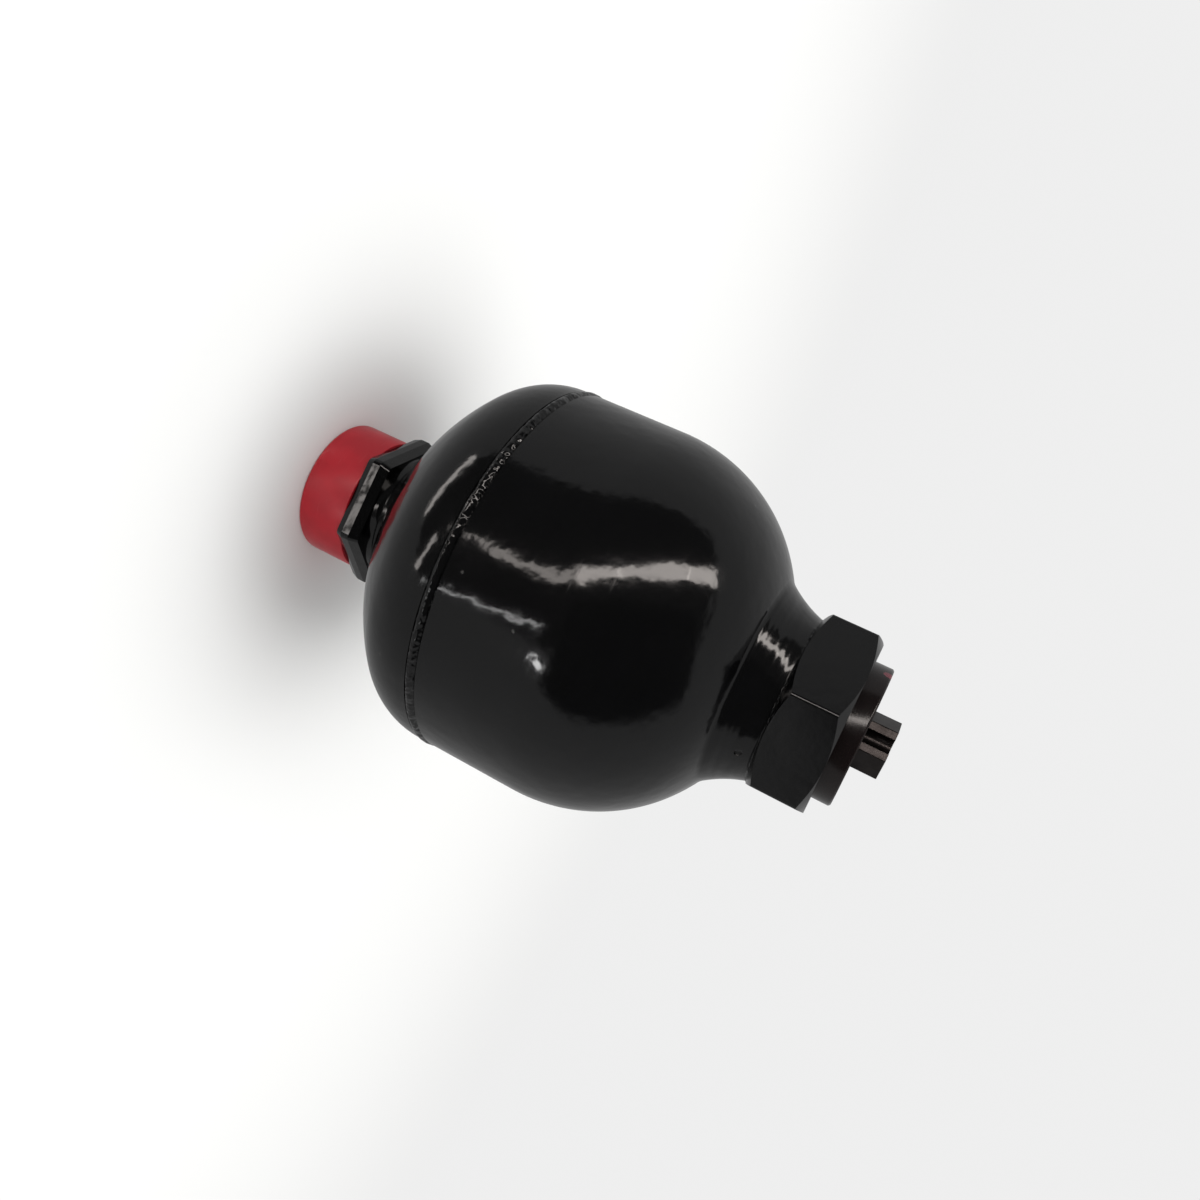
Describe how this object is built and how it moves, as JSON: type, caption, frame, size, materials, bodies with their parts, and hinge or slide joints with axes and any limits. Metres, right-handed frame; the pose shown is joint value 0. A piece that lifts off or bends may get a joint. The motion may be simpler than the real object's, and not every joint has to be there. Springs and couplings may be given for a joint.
{
  "type": "bladder accumulator",
  "caption": "Small steel hydraulic accumulator: a black welded vessel holding a gas-charged rubber bladder, with a capped fluid port and a hexagon gas screw.",
  "frame": {"origin": "middle of the flat end of the red transport cap, on which the accumulator stands", "axes": "+Z runs along the vessel's axis from the fluid port to the gas screw; -Y is the side that the picture's camera faces"},
  "size_m": [0.125, 0.125, 0.2003],
  "materials": {
    "black_enamel": "gloss black enamel with a slightly wavy skin",
    "red_plastic": "semi-matt moulded polyethylene",
    "plated_steel": "turned and plated, bright with a warm tint",
    "bright_steel": "machined bright",
    "spring_steel": "drawn wire",
    "nitrile_rubber": "moulded, matt",
    "white_ptfe": "waxy white",
    "amber_urethane": "cast polyurethane",
    "bronze": "sintered bronze"
  },
  "bodies": {
    "vessel": {"shell_body": "black_enamel", "fluid_dome": "black_enamel", "seam_weld": "black_enamel", "fluid_port_body": "black_enamel", "port_backup_ring": "white_ptfe", "port_o_ring": "nitrile_rubber", "thread_cap": "red_plastic", "guide_bush": "bronze", "spring_seat": "bright_steel", "poppet_spring": "spring_steel", "bladder": "nitrile_rubber", "bead_ring": "bright_steel", "closure_plug": "plated_steel", "closure_o_ring": "nitrile_rubber", "lock_nut": "black_enamel", "gas_screw": "bright_steel", "gas_screw_o_ring": "nitrile_rubber"},
    "poppet_valve": {"poppet": "bright_steel", "stop_cushion": "amber_urethane", "stop_washer": "bright_steel", "stop_nut": "bright_steel", "nut_lock_ring": "white_ptfe"}
  },
  "joints": [
    {"name": "poppet_slide", "type": "slide", "parent": "vessel", "child": "poppet_valve", "axis": [0, 0, 1], "range_m": [-0.007, 0], "stiffness_N_per_m": 900, "springref_m": 0.012, "deforming": ["poppet_spring"]}
  ]
}
